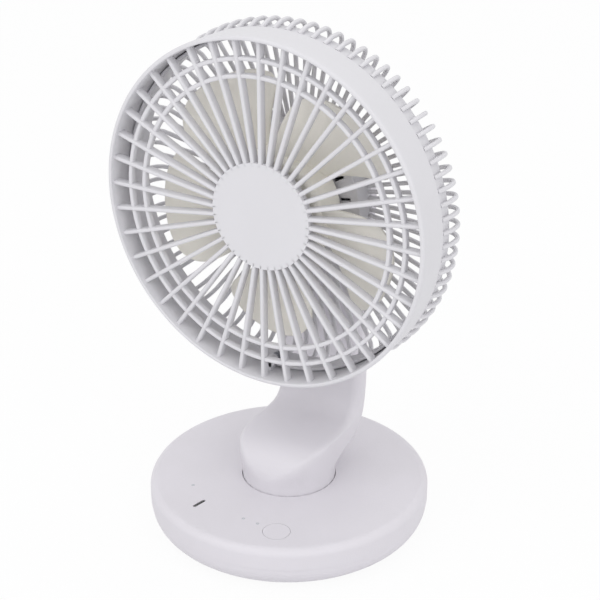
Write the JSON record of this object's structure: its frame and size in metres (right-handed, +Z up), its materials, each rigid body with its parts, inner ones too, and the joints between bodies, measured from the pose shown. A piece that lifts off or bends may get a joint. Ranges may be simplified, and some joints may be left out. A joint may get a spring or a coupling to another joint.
{
  "type": "desk fan",
  "caption": "Rechargeable desk fan: round grille head with broad blades on an S-shaped neck that swivels and tilts over a round weighted base.",
  "frame": {"origin": "middle of the base's underside, on the plane of the feet", "axes": "+Z up along the swivel axis, -Y towards the front that blows air, +X to the right seen from the front"},
  "size_m": [0.196, 0.16, 0.295],
  "materials": {
    "shell_white": "fine satin",
    "grille_white": "satin",
    "blade_ivory": "satin",
    "button_white": "satin",
    "dark_window": "polished",
    "clear_pin": "frosted",
    "rubber_foot": "matte",
    "black_plastic": "satin",
    "gear_plastic": "smooth",
    "steel_screw": "zinc plated",
    "steel_part": "turned",
    "ballast_iron": "painted",
    "cell_wrap": "shrink wrap",
    "board_green": "solder mask",
    "board_part": "moulded",
    "copper_wire": "enamelled",
    "core_steel": "laminated",
    "magnet": "sintered",
    "alloy": "die cast"
  },
  "bodies": {
    "base": {"base_tray": "shell_white", "base_cover": "shell_white", "rubber_feet": "rubber_foot", "base_screws": "steel_screw", "ballast_plate": "ballast_iron", "battery_cells": "cell_wrap", "battery_holders": "black_plastic", "control_board": "board_green", "board_components": "board_part", "switch_body": "black_plastic", "indicator_window": "dark_window", "indicator_pins": "clear_pin", "usb_socket": "steel_part", "swing_motor": "steel_part", "swivel_clip": "steel_screw"},
    "button": {"power_button": "button_white", "switch_plunger": "gear_plastic"},
    "pinion": {"swing_shaft": "steel_part", "swing_pinion": "gear_plastic"},
    "neck": {"neck_spindle": "gear_plastic", "spindle_screws": "steel_screw", "neck_shell": "shell_white", "neck_cover": "shell_white", "neck_screws": "steel_screw", "hinge_bolt": "steel_screw", "hinge_nut": "steel_screw", "hinge_washers": "gear_plastic", "hinge_caps": "shell_white", "neck_wiring": "black_plastic"},
    "head": {"rear_grille": "grille_white", "motor_housing": "shell_white", "housing_screws": "steel_screw", "motor_bracket": "alloy", "bracket_screws": "steel_screw", "motor_stator": "core_steel", "motor_coils": "copper_wire", "motor_bearings": "steel_part", "motor_board": "board_green", "front_grille": "grille_white", "grille_disc": "grille_white", "grille_screw": "steel_screw"},
    "rotor": {"impeller": "blade_ivory", "rotor_cup": "steel_part", "rotor_magnet": "magnet", "motor_shaft": "steel_part", "blade_nut": "steel_screw"}
  },
  "joints": [
    {"name": "neck_swivel", "type": "hinge", "parent": "base", "child": "neck", "pos_m": [0, 0, 0.014], "axis": [0, 0, 1], "range_deg": [-40, 40]},
    {"name": "pinion_spin", "type": "hinge", "parent": "base", "child": "pinion", "pos_m": [0, 0.0375, 0.014], "axis": [0, 0, 1], "range_deg": [-162, 162]},
    {"name": "head_tilt", "type": "hinge", "parent": "neck", "child": "head", "pos_m": [0, 0.0406, 0.197], "axis": [-1, 0, 0], "range_deg": [-10, 40]},
    {"name": "fan_spin", "type": "hinge", "parent": "head", "child": "rotor", "pos_m": [0, 0, 0.197], "axis": [0, 1, 0], "continuous": true},
    {"name": "button_press", "type": "slide", "parent": "base", "child": "button", "axis": [0, 0, -1], "range_m": [0, 0.0008], "stiffness_N_per_m": 900, "springref_m": -0.0006}
  ],
  "couplings": [
    {"joint": "pinion_spin", "follows": "neck_swivel", "ratio": -4}
  ]
}
